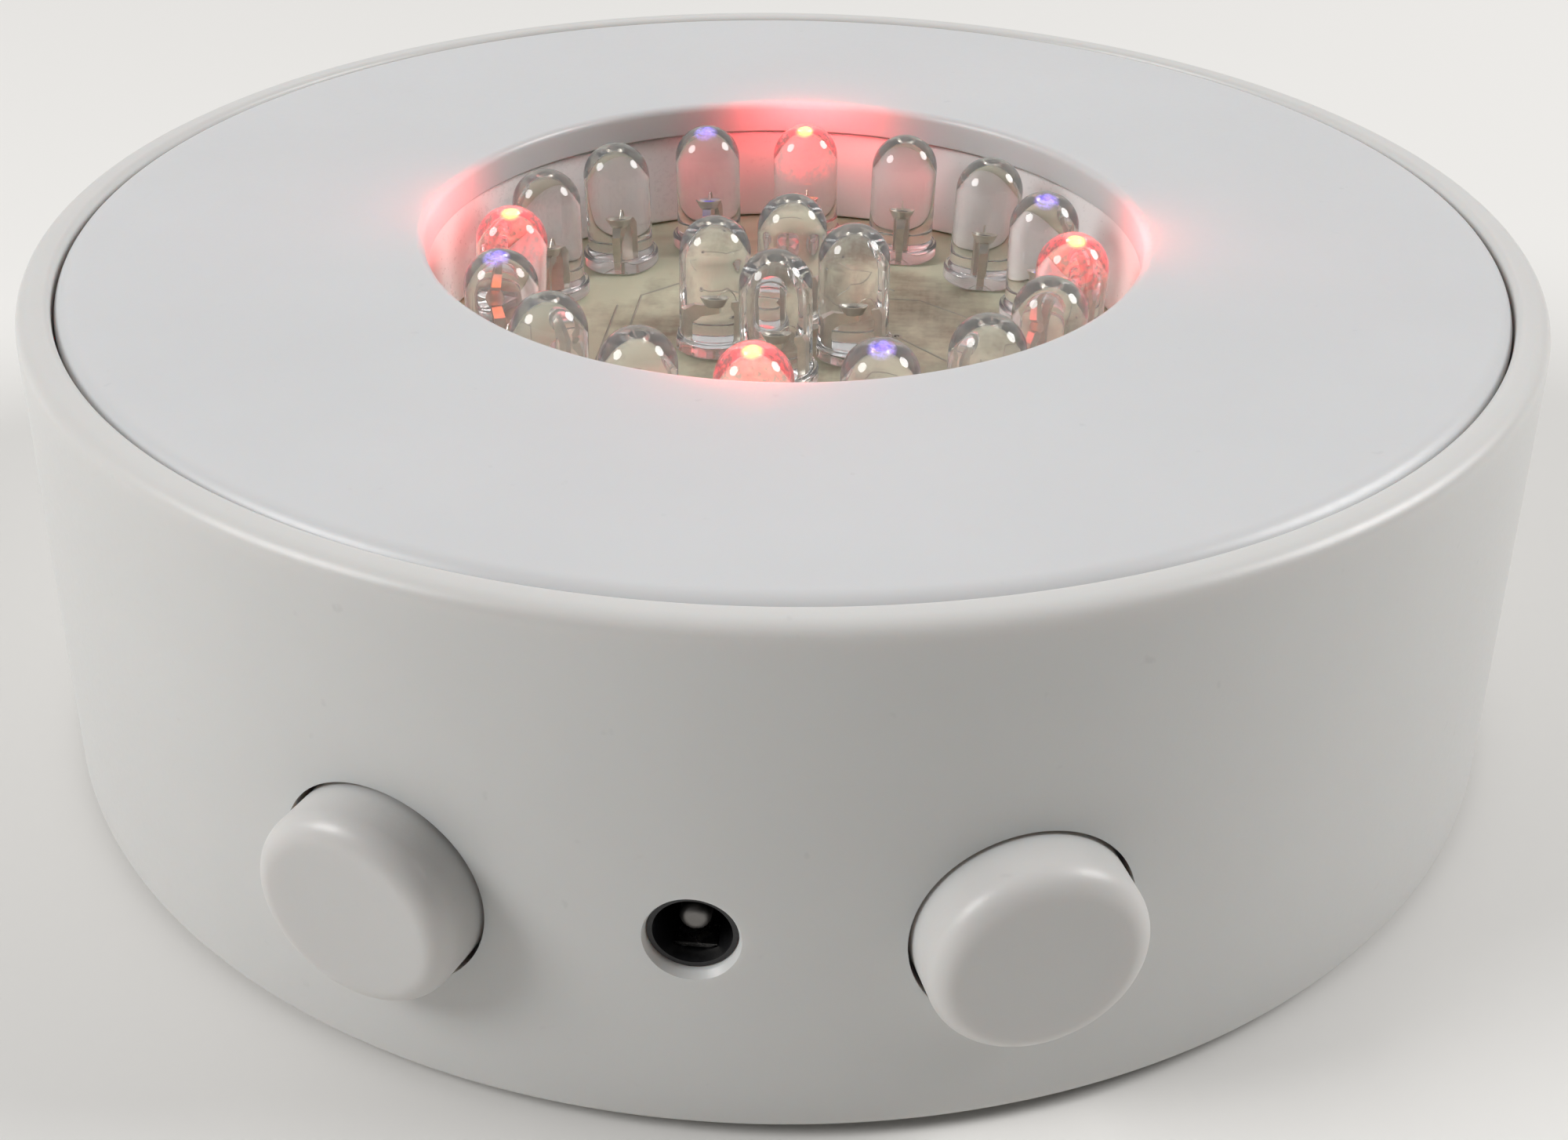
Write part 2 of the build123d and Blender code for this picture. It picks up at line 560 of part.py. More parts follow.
# ---------------------------------------------------------------- batteries
def cell_row(i):
    """Y of a cell's axis, and which way its positive end points along X."""
    return BAY_CENTRE_Y + (i - 1) * CELL_PITCH, 1 if i % 2 == 0 else -1


def make_batteries():
    plate_face = BAY_HALF_LENGTH - CONTACT
    body_length = CELL_LENGTH - CELL_NUB
    positive_end = plate_face - 0.05
    for i in range(CELL_COUNT):
        y, way = cell_row(i)
        body = Cylinder(CELL_RADIUS, body_length, align=(Align.CENTER, Align.CENTER, Align.MAX))
        cell = Pos(0, 0, positive_end - CELL_NUB) * fillet(body.edges(), 0.5)
        cell += barrel(CELL_NUB_RADIUS, positive_end - CELL_NUB, positive_end)
        nodes[f"aa_cell_{i + 1}"] = Pos(0, y, Z_CELL) * Rot(0, 90 * way, 0) * cell

    springs = []
    start = plate_face - SPRING_WIRE_RADIUS
    length = 2 * plate_face - CELL_LENGTH - 0.05 - 2 * SPRING_WIRE_RADIUS - 0.15
    path = Helix(length / SPRING_TURNS, length, SPRING_RADIUS)
    section = Plane(origin=path @ 0, z_dir=path % 0) * Circle(SPRING_WIRE_RADIUS)
    wire = sweep(section, path=path, is_frenet=True)
    for i in range(CELL_COUNT):
        y, way = cell_row(i)
        springs.append(Pos(-way * start, y, Z_CELL) * Rot(0, 90 * way, 0) * wire)
    nodes["battery_springs"] = Compound(children=springs)

    half = CONTACT_WIDTH / 2
    first = cell_row(0)[0]
    middle = cell_row(1)[0]
    last = cell_row(2)[0]
    z_tab = Z_BAY_CEILING + BAY_CEILING + 1.6
    contacts = {
        "battery_plate_negative": (-1, first, first),
        "battery_plate_positive": (1, last, last),
        "battery_bridge_left": (-1, middle, last),
        "battery_bridge_right": (1, first, middle),
    }
    for name, (side, y0, y1) in contacts.items():
        x0, x1 = sorted((side * plate_face, side * BAY_HALF_LENGTH))
        plate = block(x0, x1, y0 - half, y1 + half, Z_CELL - half, Z_CELL + half)
        if y0 == y1:
            plate += block(x0, x1, y0 - TAB_HALF_WIDTH, y0 + TAB_HALF_WIDTH, Z_CELL, z_tab)
        nodes[name] = plate


# ---------------------------------------------------------------- leads
def lead(points, bends, radius=0.6):
    """Insulated wire of straight runs joined by tangent arcs."""
    path = FilletPolyline(*points, radius=bends)
    return sweep(Plane(origin=path @ 0, z_dir=path % 0) * Circle(radius), path=path)


def make_leads():
    z_pad = Z_CONTROL_BOARD
    z_over = Z_BAY_CEILING + BAY_CEILING + 0.9
    tab_x = BAY_HALF_LENGTH - CONTACT - 0.6
    for name, side, row in (("battery_lead_black", -1, 0), ("battery_lead_red", 1, 2)):
        tab_y = cell_row(row)[0]
        nodes[name] = lead(
            [
                (side * 22.5, -34.0, z_pad), (side * 22.5, -34.0, 16.5),
                (side * 27.5, -21.0, z_over), (side * tab_x, tab_y, z_over),
            ],
            [2.5, 4.0],
        )
    led_leads = []
    for i in range(5):
        x = -3.6 + i * 1.8
        route = [
            (x, -25.0, z_pad), (x, -25.0, 13.5), (x, -27.5, 18.0), (x, -27.5, Z_LED_BOARD - BOARD_THICKNESS),
        ]
        led_leads.append(lead(route, [2.0, 2.0]))
    nodes["led_leads"] = Compound(children=led_leads)


make_housing()
make_top_plate()
make_well_ring()
make_leds()
make_led_board()
make_button("power_button", "power_switch", -BUTTON_ANGLE)
make_button("mode_button", "mode_switch", BUTTON_ANGLE)
make_socket()
make_control_board()
make_base_cover()
make_feet()
make_screws()
make_battery_door()
make_batteries()
make_leads()

os.makedirs("parts", exist_ok=True)
for name, shape in nodes.items():
    export_step(shape, f"parts/{name}.step")
print(len(nodes), "nodes written")
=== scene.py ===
from math import atan2, cos, pi, radians, sin, tan

import bmesh
import bpy
from mathutils import Euler, Matrix, Vector


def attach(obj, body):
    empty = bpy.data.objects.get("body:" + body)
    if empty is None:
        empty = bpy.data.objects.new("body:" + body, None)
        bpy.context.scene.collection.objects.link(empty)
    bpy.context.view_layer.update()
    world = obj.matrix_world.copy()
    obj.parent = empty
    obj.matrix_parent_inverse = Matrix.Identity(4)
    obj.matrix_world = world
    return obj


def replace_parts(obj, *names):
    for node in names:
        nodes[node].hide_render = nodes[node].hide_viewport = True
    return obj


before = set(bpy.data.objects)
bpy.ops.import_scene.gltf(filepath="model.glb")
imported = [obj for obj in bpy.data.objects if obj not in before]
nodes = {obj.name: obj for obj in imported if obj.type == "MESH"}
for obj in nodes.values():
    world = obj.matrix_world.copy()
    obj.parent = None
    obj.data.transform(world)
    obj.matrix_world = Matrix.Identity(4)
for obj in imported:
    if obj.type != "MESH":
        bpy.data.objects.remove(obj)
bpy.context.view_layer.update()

MM = 0.001

# ---- sizes of the shell and the light well, in millimetres ----
BASE_RADIUS, TOP_RADIUS, WALL = 51.8, 50.2, 2.0
RIM_INNER_RADIUS, RIM_INNER_FILLET = 48.1, 0.5
Z_BOTTOM, Z_TOP = 0.8, 32.9
Z_DECK = 30.5
DECK_THICKNESS = 1.9
DECK_OPENING_RADIUS = 27.0
PLATE_RADIUS, PLATE_FILLET = 48.0, 1.2
PLATE_OPENING_RADIUS, PLATE_OPENING_FILLET = 24.5, 0.6
WELL_RADIUS, WELL_WALL = 25.1, 1.8
WELL_SEAM, WELL_GAP = 0.25, 0.15
WELL_FLANGE_RADIUS, WELL_FLANGE = 29.6, 1.6
WELL_LEG_RADIUS, WELL_LEG_CIRCLE = 1.1, 28.4
Z_LED_BOARD = 23.0
BOSS_RADIUS, BOSS_X, BOSS_Y, Z_BOSS = 3.2, 36.0, 25.2, 5.3
POST_RADIUS, POST_CIRCLE = 2.8, 33.0

# ---- front controls ----
INSIDE, OUTSIDE = 42, 60              # holes through the wall are cut between these distances from Z
BUTTON_ANGLE = 19.7
Z_BUTTON, Z_SOCKET = 13.5, 14.0
BUTTON_RADIUS, BUTTON_GAP = 6.1, 0.25
BUTTON_PROUD, BUTTON_EDGE = 3.1, 1.4
BUTTON_FLANGE_RADIUS, BUTTON_FLANGE, BUTTON_FLANGE_FACE = 7.4, 1.0, 48.1
STEM_RADIUS, STEM_END = 2.2, 45.2
SOCKET_HOLE_RADIUS = 2.45

# ---- LEDs ----
LED_HEIGHT, LED_BODY_RADIUS = 9.5, 2.5
LED_FLANGE_RADIUS, LED_FLANGE = 2.9, 1.0
LED_FOOT_Z = 23.2
LED_LEAD, LED_LEAD_OFFSET, LED_LEAD_END = 0.5, 1.27, -2.8
CUP_LOW, CUP_HIGH = 3.2, 3.9
RING_LED_RADIUS, RING_LEAD_LINE = 19.8, 90
CENTRE_LED_RADIUS, CENTRE_LEAD_LINE = 5.0, 0
RING_KINDS = ("red", "blue", "clear", "clear") * 4
CENTRE_KINDS = ("clear",) * 4
# degrees about X and about Y, by LED, counter-clockwise from +X
RING_LED_LEANS = (
    (0, 1), (1, -1), (0, 2), (1, 1),
    (1, -1), (-1, -1), (2, -1), (0, 0),
    (-2, 4), (-2, -1), (-2, 1), (-1, 1),
    (-2, -1), (-1, 0), (-1, 1), (0, -1),
)
CENTRE_LED_LEANS = ((1, -1), (0, 1), (-1, 1), (2, -1))
WIRE_END = (1.05, 3.6)                # where the bond wire meets the anode
GLOW_OFFSET = -0.8                    # where the lit die's image is painted on the dome, along the lens's X
GLOW_DEPTH = 0.15                     # and how far below the tip

# ---- LED board, (x, y) ----
TRACK_ROUTES = (
    ((6.5, 9.5), (9.5, 9.5), (15.5, 5.0), (15.5, -3.0)),
    ((-4.0, 11.0), (-8.5, 11.0), (-11.5, 8.0), (-11.5, 2.0), (-9.0, -0.5)),
    ((-13.0, 6.0), (-13.0, -5.0), (-9.5, -8.5), (-3.0, -8.5)),
    ((8.0, 3.0), (12.0, -1.0), (12.0, -6.5), (8.5, -10.0), (2.0, -10.0)),
    ((-2.0, 13.5), (5.0, 13.5), (7.5, 11.0)),
)
VIAS = ((13.6, 1.5), (6.5, 9.5), (-9.0, -0.5), (-4.0, 11.0), (8.0, 3.0), (-7.0, 5.5))
TRACK_RADIUS, TRACK_DEPTH = 0.11, 0.05
# the second radius: a dark disc painted into each via hole as the hole's shade
VIA_HOLE_RADIUS, VIA_SHADE_RADIUS, VIA_RADIUS = 0.2, 0.22, 0.42

# ---- meshes ----
SHARP_ANGLE = radians(32)             # edges that turn more than this stay sharp

# ---- stage and light, in metres ----
FLOOR_HALF = 6
FLOOR_TONE = (0.82, 0.805, 0.78)
DARK_ANGLE = radians(35)              # the dome's darkest side, counter-clockwise from -Y
DARK_DIP = -0.3                       # how far below the horizon the darkest direction points
DOME_LIGHT = 0.62
HORIZON_LIGHT = 0.36                  # a pale band that ends the floor softly on every side
# the lamps that throw the red LEDs' light on the wall of the well
GLOW_LAMP_POWER = 0.0105
GLOW_LAMP_RADIUS = 2.0 * MM
LAMP_SIZE = (0.42, 0.42)
LAMP_AIM = (0, 0, 0.02)


# ---------------------------------------------------------------- camera
def make_camera():
    """The photograph's viewpoint: in front, a little to the right, looking down at the light base."""
    data = bpy.data.cameras.new("camera")
    data.sensor_width = 36
    data.lens = 43.47
    data.clip_start = 0.01
    data.clip_end = 50
    camera = bpy.data.objects.new("camera", data)
    bpy.context.scene.collection.objects.link(camera)
    heading, pitch, roll = radians(4.774), radians(32.386), radians(0.777)
    turn = Matrix.Rotation(heading, 4, "Z") @ Matrix.Rotation(pi / 2 - pitch, 4, "X")
    turn = turn @ Matrix.Rotation(roll, 4, "Z")
    camera.matrix_world = Matrix.Translation(Vector((10.51, -122.64, 82.31)) * MM) @ turn
    bpy.context.scene.camera = camera


# ---------------------------------------------------------------- material helpers
MAP_RANGE_SOCKETS = ("From Min", "From Max", "To Min", "To Max")


def scaled(tone, by):
    """A colour made lighter or darker, no channel above 1."""
    return tuple(min(1.0, channel * by) for channel in tone)


class Shader:
    """A node material with one Principled shader, built a few nodes at a time."""

    def __init__(self, name, colour, **sockets):
        self.material = bpy.data.materials.new(name)
        self.material.use_nodes = True
        self.tree = self.material.node_tree
        self.shader = self.tree.nodes["Principled BSDF"]
        self.shader.inputs["Base Color"].default_value = (*colour, 1)
        for socket, value in sockets.items():
            self.shader.inputs[socket.replace("_", " ")].default_value = value
        self.place = self.add("ShaderNodeTexCoord").outputs["Object"]

    def add(self, kind, **settings):
        node = self.tree.nodes.new(kind)
        for key, value in settings.items():
            setattr(node, key, value)
        return node

    def feed(self, source, target):
        self.tree.links.new(source, target)

    def noise(self, scale, detail=3.0, roughness=0.5, stretch=None):
        """Noise over the object, scale in features per metre."""
        node = self.add("ShaderNodeTexNoise")
        node.inputs["Scale"].default_value = scale
        node.inputs["Detail"].default_value = detail
        node.inputs["Roughness"].default_value = roughness
        place = self.place
        if stretch:
            mapping = self.add("ShaderNodeMapping")
            mapping.inputs["Scale"].default_value = stretch
            self.feed(place, mapping.inputs["Vector"])
            place = mapping.outputs["Vector"]
        self.feed(place, node.inputs["Vector"])
        return node.outputs["Fac"]

    def ramp(self, source, stops):
        """Colour ramp from (position, colour) stops."""
        node = self.add("ShaderNodeValToRGB")
        elements = node.color_ramp.elements
        while len(elements) < len(stops):
            elements.new(0.5)
        for element, (position, colour) in zip(elements, stops):
            element.position = position
            element.color = (*colour, 1)
        self.feed(source, node.inputs["Fac"])
        return node.outputs["Color"]

    def span(self, source, low, high, out_low, out_high):
        """Maps a value from one range onto another, clamped."""
        node = self.add("ShaderNodeMapRange")
        for socket, value in zip(MAP_RANGE_SOCKETS, (low, high, out_low, out_high)):
            node.inputs[socket].default_value = value
        self.feed(source, node.inputs["Value"])
        return node.outputs["Result"]

    def maths(self, operation, a, b):
        node = self.add("ShaderNodeMath", operation=operation)
        for socket, value in zip(node.inputs, (a, b)):
            if isinstance(value, (int, float)):
                socket.default_value = value
            else:
                self.feed(value, socket)
        return node.outputs["Value"]

    def mix(self, factor, a, b):
        """Colour a to colour b by a factor; each colour is a socket or a tuple."""
        node = self.add("ShaderNodeMix", data_type="RGBA")
        self.feed(factor, node.inputs["Factor"])
        for socket, value in ((node.inputs[6], a), (node.inputs[7], b)):
            if isinstance(value, tuple):
                socket.default_value = (*value, 1)
            else:
                self.feed(value, socket)
        return node.outputs[2]

    def colour(self, source):
        self.feed(source, self.shader.inputs["Base Color"])

    def roughness(self, source):
        self.feed(source, self.shader.inputs["Roughness"])

    def bump(self, height, distance):
        """Bump from a height between 0 and 1, distance in metres; a second call adds to the first."""
        node = self.add("ShaderNodeBump")
        node.inputs["Strength"].default_value = 1.0
        node.inputs["Distance"].default_value = distance
        self.feed(height, node.inputs["Height"])
        normal = self.shader.inputs["Normal"]
        if normal.is_linked:
            self.feed(normal.links[0].from_socket, node.inputs["Normal"])
        self.feed(node.outputs["Normal"], normal)

    def distance_from(self, centre, squeeze=(1, 1, 1)):
        """Distance of each point from a point, in metres, with each axis squeezed by a factor."""
        offset = self.add("ShaderNodeVectorMath", operation="SUBTRACT")
        self.feed(self.place, offset.inputs[0])
        offset.inputs[1].default_value = centre
        scale = self.add("ShaderNodeVectorMath", operation="MULTIPLY")
        self.feed(offset.outputs["Vector"], scale.inputs[0])
        scale.inputs[1].default_value = squeeze
        length = self.add("ShaderNodeVectorMath", operation="LENGTH")
        self.feed(scale.outputs["Vector"], length.inputs[0])
        return length.outputs["Value"]

    def axis(self, name):
        """One coordinate of each point, in metres."""
        node = self.add("ShaderNodeSeparateXYZ")
        self.feed(self.place, node.inputs["Vector"])
        return node.outputs[name]


# ---------------------------------------------------------------- materials
def moulded_plastic(name, tone, gloss=0.36, glow_through=0.0):
    """Injection-moulded ABS: slight flow mottling, a fine satin grain and a few dust specks."""
    s = Shader(name, tone, IOR=1.53)
    if glow_through:
        s.shader.inputs["Subsurface Weight"].default_value = glow_through
        s.shader.inputs["Subsurface Radius"].default_value = (1.0, 0.62, 0.45)
        s.shader.inputs["Subsurface Scale"].default_value = 2.2 * MM
    flow = s.noise(38, 4, 0.6)
    base = s.ramp(flow, [(0.3, scaled(tone, 0.975)), (0.7, scaled(tone, 1.02))])
    specks = s.span(s.noise(700, 2), 0.72, 0.80, 0, 0.25)
    s.colour(s.mix(specks, base, scaled(tone, 0.7)))
    fine = s.noise(2600, 3, 0.6)
    s.roughness(s.span(s.maths("ADD", flow, fine), 0.6, 1.4, gloss - 0.06, gloss + 0.08))
    s.bump(fine, 6e-6)
    s.bump(s.noise(240, 2), 8e-6)
    return s.material


def metal(name, tone, rough):
    """Plated or turned metal with fine wear."""
    s = Shader(name, tone, Metallic=1.0)
    wear = s.noise(1500, 4, 0.6)
    s.colour(s.ramp(wear, [(0.3, scaled(tone, 0.82)), (0.7, tone)]))
    s.roughness(s.span(wear, 0.3, 0.7, rough, rough + 0.15))
    s.bump(wear, 4e-6)
    return s.material


def circuit_board(name, tone, stain, stain_centre=None):
    """Solder mask over glass weave, with flux stains that are heaviest round one place."""
    s = Shader(name, tone, IOR=1.5)
    clouds = s.noise(120, 5, 0.62)
    if stain_centre:
        near = s.span(s.distance_from(stain_centre, (0.8, 1, 1)), 3 * MM, 15 * MM, 0.24, -0.04)
        clouds = s.maths("SUBTRACT", clouds, near)
    between = tuple((a + b) / 2 for a, b in zip(tone, stain))
    base = s.ramp(clouds, [(0.24, stain), (0.38, between), (0.50, tone)])
    weave_a = s.noise(2200, 1, 0.4, stretch=(1, 0.12, 1))
    weave_b = s.noise(2200, 1, 0.4, stretch=(0.12, 1, 1))
    weave = s.maths("MULTIPLY", weave_a, weave_b)
    s.colour(s.mix(s.span(weave, 0.2, 0.34, 0, 0.18), base, scaled(tone, 1.15)))
    s.roughness(s.span(clouds, 0.2, 0.6, 0.5, 0.32))
    s.bump(weave, 1.2e-5)
    return s.material


def rubber_like(name, tone, rough=0.75):
    """Dull black moulding with a fine grain."""
    s = Shader(name, tone)
    grain = s.noise(3000, 3, 0.6)
    s.colour(s.ramp(grain, [(0.3, scaled(tone, 0.7)), (0.7, scaled(tone, 1.5))]))
    s.roughness(s.span(grain, 0.3, 0.7, rough - 0.1, rough + 0.1))
    s.bump(grain, 1.5e-5)
    return s.material


def cell_sleeve(name, way):
    """Printed sleeve of a cell along X: dark body, a plain coloured band and bare metal ends."""
    s = Shader(name, (0.05, 0.055, 0.065), IOR=1.5)
    along = s.maths("MULTIPLY", s.axis("X"), way / (25 * MM))
    scuffs = s.noise(900, 4, 0.6, stretch=(0.2, 1, 1))
    body = s.ramp(scuffs, [(0.3, (0.035, 0.04, 0.05)), (0.7, (0.06, 0.065, 0.08))])
    banded = s.mix(s.span(along, 0.50, 0.505, 0, 1), body, (0.55, 0.30, 0.08))
    tip = s.maths("MAXIMUM", s.span(along, 1.06, 1.062, 0, 1), s.span(along, -0.985, -0.983, 1, 0))
    s.colour(s.mix(tip, banded, (0.66, 0.65, 0.62)))
    s.feed(tip, s.shader.inputs["Metallic"])
    s.roughness(s.span(scuffs, 0.3, 0.7, 0.24, 0.36))
    s.bump(scuffs, 5e-6)
    return s.material


def lens_epoxy(name, glow=None):
    """Clear cast epoxy, very slightly milky.

    glow is (core colour, fringe colour, core radius, fringe radius, strength): the lit die's light
    gathered near the tip, painted as emission on the dome: a bright core in a broken fringe.
    """
    s = Shader(name, (1.0, 1.0, 1.0), IOR=1.53, Transmission_Weight=0.93)
    ripple = s.noise(480, 2)
    s.roughness(s.span(ripple, 0.3, 0.7, 0.0, 0.03))
    s.bump(ripple, 1.6e-5)
    if glow:
        core_colour, fringe_colour, core, fringe, strength = glow
        distance = s.distance_from((GLOW_OFFSET * MM, 0, (LED_HEIGHT - GLOW_DEPTH) * MM))
        inner = s.span(distance, core * 0.4 * MM, core * 1.4 * MM, 1, 0)
        outer = s.span(distance, core * MM, fringe * MM, 0.9, 0)
        sparkle = s.span(s.noise(1900, 4, 0.7), 0.40, 0.62, 0.35, 1.8)
        s.feed(s.mix(inner, fringe_colour, core_colour), s.shader.inputs["Emission Color"])
        amount = s.maths("ADD", s.maths("MULTIPLY", inner, strength), s.maths("MULTIPLY", outer, sparkle))
        s.feed(amount, s.shader.inputs["Emission Strength"])
    return s.material


def die_light(name, colour, strength):
    """A die mottled by its grid of contacts, lit unless its strength is zero."""
    s = Shader(name, scaled(colour, 0.3), Roughness=0.5)
    grid = s.noise(9000, 2)
    s.colour(s.ramp(grid, [(0.3, scaled(colour, 0.25)), (0.7, scaled(colour, 0.35))]))
    s.shader.inputs["Emission Color"].default_value = (*colour, 1)
    s.feed(s.span(grid, 0.3, 0.7, strength * 0.8, strength * 1.2), s.shader.inputs["Emission Strength"])
    return s.material


# ---------------------------------------------------------------- mesh helpers
def new_object(name, mesh_builder, material, body="base", place=None):
    """Object from a bmesh in millimetres, smooth where its faces nearly line up, riding on a body."""
    mesh = bpy.data.meshes.new(name)
    bm = bmesh.new()
    mesh_builder(bm)
    bmesh.ops.scale(bm, vec=(MM, MM, MM), verts=bm.verts)
    bmesh.ops.recalc_face_normals(bm, faces=bm.faces)
    for face in bm.faces:
        face.smooth = True
    bm.to_mesh(mesh)
    bm.free()
    mesh.set_sharp_from_angle(angle=SHARP_ANGLE)
    obj = bpy.data.objects.new(name, mesh)
    bpy.context.scene.collection.objects.link(obj)
    obj.data.materials.append(material)
    if place:
        obj.matrix_world = place
    if body:
        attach(obj, body)
    return obj


def rounded(corners, steps=6):
    """Closed outline from (radius, height, rounding) corners, each rounding an arc."""
    points = []
    count = len(corners)
    for i, (r, z, rounding) in enumerate(corners):
        corner = Vector((r, z))
        if not rounding:
            points.append(corner)
            continue
        back = (Vector(corners[i - 1][:2]) - corner).normalized()
        ahead = (Vector(corners[(i + 1) % count][:2]) - corner).normalized()
        half = back.angle(ahead) / 2
        centre = corner + (back + ahead).normalized() * (rounding / sin(half))
        start = corner + back * (rounding / tan(half)) - centre
        end = corner + ahead * (rounding / tan(half)) - centre
        a0 = atan2(start.y, start.x)
        sweep = (atan2(end.y, end.x) - a0 + pi) % (2 * pi) - pi
        for k in range(steps + 1):
            angle = a0 + sweep * k / steps
            points.append(centre + Vector((cos(angle), sin(angle))) * rounding)
    return points


def divided(points, longest):
    """The same closed outline with extra points, so that no run is longer than a length."""
    result = []
    for here, ahead in zip(points, points[1:] + points[:1]):
        pieces = max(1, int((ahead - here).length / longest + 0.999))
        result += [here.lerp(ahead, k / pieces) for k in range(pieces)]
    return result


def lathe(bm, outline, segments, place=Matrix.Identity(4)):
    """Closed solid turned about Z. Points on the axis become a pole."""
    rings = []
    for r, z in outline:
        if r < 1e-9:
            rings.append([bm.verts.new(place @ Vector((0, 0, z)))])
            continue
        turns = (2 * pi * i / segments for i in range(segments))
        rings.append([bm.verts.new(place @ Vector((r * cos(t), r * sin(t), z))) for t in turns])
    for lower, upper in zip(rings, rings[1:] + rings[:1]):
        if len(lower) == 1 and len(upper) == 1:
            continue
        for i in range(segments):
            j = (i + 1) % segments
            bottom = lower[i % len(lower)], lower[j % len(lower)]
            top = upper[j % len(upper)], upper[i % len(upper)]
            bm.faces.new(list(dict.fromkeys(bottom + top)))


def prism(bm, outline, half, place=Matrix.Identity(4)):
    """Solid from an outline of (x, z) points, extruded both ways along Y."""
    sides = [[bm.verts.new(place @ Vector((x, y, z))) for x, z in outline] for y in (-half, half)]
    front, back = sides
    bm.faces.new(front)
    bm.faces.new(back[::-1])
    for i in range(len(outline)):
        j = (i + 1) % len(outline)
        bm.faces.new((front[i], back[i], back[j], front[j]))


def tube(bm, points, radius, sides=8):
    """Round wire along a short list of points."""
    rings = []
    for i, point in enumerate(points):
        along = (points[min(i + 1, len(points) - 1)] - points[max(i - 1, 0)]).normalized()
        across = along.orthogonal().normalized()
        other = along.cross(across)
        turns = (2 * pi * k / sides for k in range(sides))
        rings.append([bm.verts.new(point + (across * cos(t) + other * sin(t)) * radius) for t in turns])
    for lower, upper in zip(rings, rings[1:]):
        for k in range(sides):
            bm.faces.new((lower[k], lower[(k + 1) % sides], upper[(k + 1) % sides], upper[k]))
    bm.faces.new(rings[0][::-1])
    bm.faces.new(rings[-1])


def outward(angle, z):
    """Frame of a front control: local Z points out of the wall and local Y up. Angle 0 faces -Y."""
    facing = Matrix.Rotation(radians(angle), 4, "Z") @ Matrix.Rotation(pi / 2, 4, "X")
    return Matrix.Translation((0, 0, z)) @ facing


def wall_radius(z):
    """Outside radius of the shell's tapered wall at a height."""
    return BASE_RADIUS + (z - Z_BOTTOM) / (Z_TOP - Z_BOTTOM) * (TOP_RADIUS - BASE_RADIUS)


def cut(obj, cutter_builder):
    """Cuts a solid out of an object's mesh and applies the cut."""
    cutter = new_object(obj.name + "_cutter", cutter_builder, obj.data.materials[0], body=None)
    modifier = obj.modifiers.new("cut", "BOOLEAN")
    modifier.operation = "DIFFERENCE"
    modifier.solver = "EXACT"
    modifier.object = cutter
    bpy.context.view_layer.update()
    evaluated = obj.evaluated_get(bpy.context.evaluated_depsgraph_get())
    mesh = bpy.data.meshes.new_from_object(evaluated)
    obj.modifiers.clear()
    old = obj.data
    obj.data = mesh
    bpy.data.meshes.remove(old)
    bpy.data.objects.remove(cutter)
    mesh.set_sharp_from_angle(angle=SHARP_ANGLE)


# ---------------------------------------------------------------- housing
def make_housing(material):
    """Shell with its rim, deck, bosses and posts, and the holes for the buttons and the socket."""
    deck_low = Z_DECK - DECK_THICKNESS
    inner_deck_radius = wall_radius(deck_low) - WALL
    outline = rounded([
        (BASE_RADIUS - WALL, Z_BOTTOM, 0.3),
        (BASE_RADIUS, Z_BOTTOM, 0.5),
        (TOP_RADIUS, Z_TOP, 1.1),
        (RIM_INNER_RADIUS, Z_TOP, RIM_INNER_FILLET),
        (RIM_INNER_RADIUS, Z_DECK, 0.2),
        (DECK_OPENING_RADIUS, Z_DECK, 0),
        (DECK_OPENING_RADIUS, deck_low, 0),
        (inner_deck_radius, deck_low, 0.4),
    ], steps=8)

    def build(bm):
        lathe(bm, divided(outline, 2.2), 360)
        for x in (-BOSS_X, BOSS_X):
            for y in (-BOSS_Y, BOSS_Y):
                post(bm, BOSS_RADIUS, Z_BOSS, deck_low, x, y)
        for quarter in range(4):
            turn = pi / 4 + quarter * pi / 2
            post(bm, POST_RADIUS, Z_LED_BOARD, deck_low, POST_CIRCLE * cos(turn), POST_CIRCLE * sin(turn))

    shell = new_object("housing_shell_fine", build, material)
    hole_radius = BUTTON_RADIUS + BUTTON_GAP
    button_hole = rounded([
        (0, INSIDE, 0),
        (hole_radius, INSIDE, 0),
        (hole_radius, OUTSIDE, 0),
        (0, OUTSIDE, 0),
    ])
    for angle in (-BUTTON_ANGLE, BUTTON_ANGLE):
        cut(shell, lambda bm: lathe(bm, button_hole, 96, outward(angle, Z_BUTTON)))
    face = wall_radius(Z_SOCKET)
    flare = 0.3
    socket_hole = rounded([
        (0, INSIDE, 0),
        (SOCKET_HOLE_RADIUS, INSIDE, 0),
        (SOCKET_HOLE_RADIUS, face - flare, 0.35),
        (SOCKET_HOLE_RADIUS + flare, face + 0.1, 0),
        (SOCKET_HOLE_RADIUS + flare, OUTSIDE, 0),
        (0, OUTSIDE, 0),
    ])
    cut(shell, lambda bm: lathe(bm, socket_hole, 72, outward(0, Z_SOCKET)))
    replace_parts(shell, "housing_shell")


def post(bm, radius, low, high, x, y):
    """Upright round post that runs a little way into what it hangs from."""
    top = high + 0.1
    outline = rounded([(0, low, 0), (radius, low, 0.2), (radius, top, 0), (0, top, 0)])
    lathe(bm, outline, 32, Matrix.Translation((x, y, 0)))


def make_top_plate(material):
    """Flat ring glued into the rim, its two top edges softly rounded."""
    outline = rounded([
        (PLATE_OPENING_RADIUS, Z_DECK, 0.15),
        (PLATE_RADIUS, Z_DECK, 0.15),
        (PLATE_RADIUS, Z_TOP, PLATE_FILLET),
        (PLATE_OPENING_RADIUS, Z_TOP, PLATE_OPENING_FILLET),
    ], steps=8)
    plate = new_object("top_plate_fine", lambda bm: lathe(bm, divided(outline, 6), 360), material)
    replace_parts(plate, "top_plate")


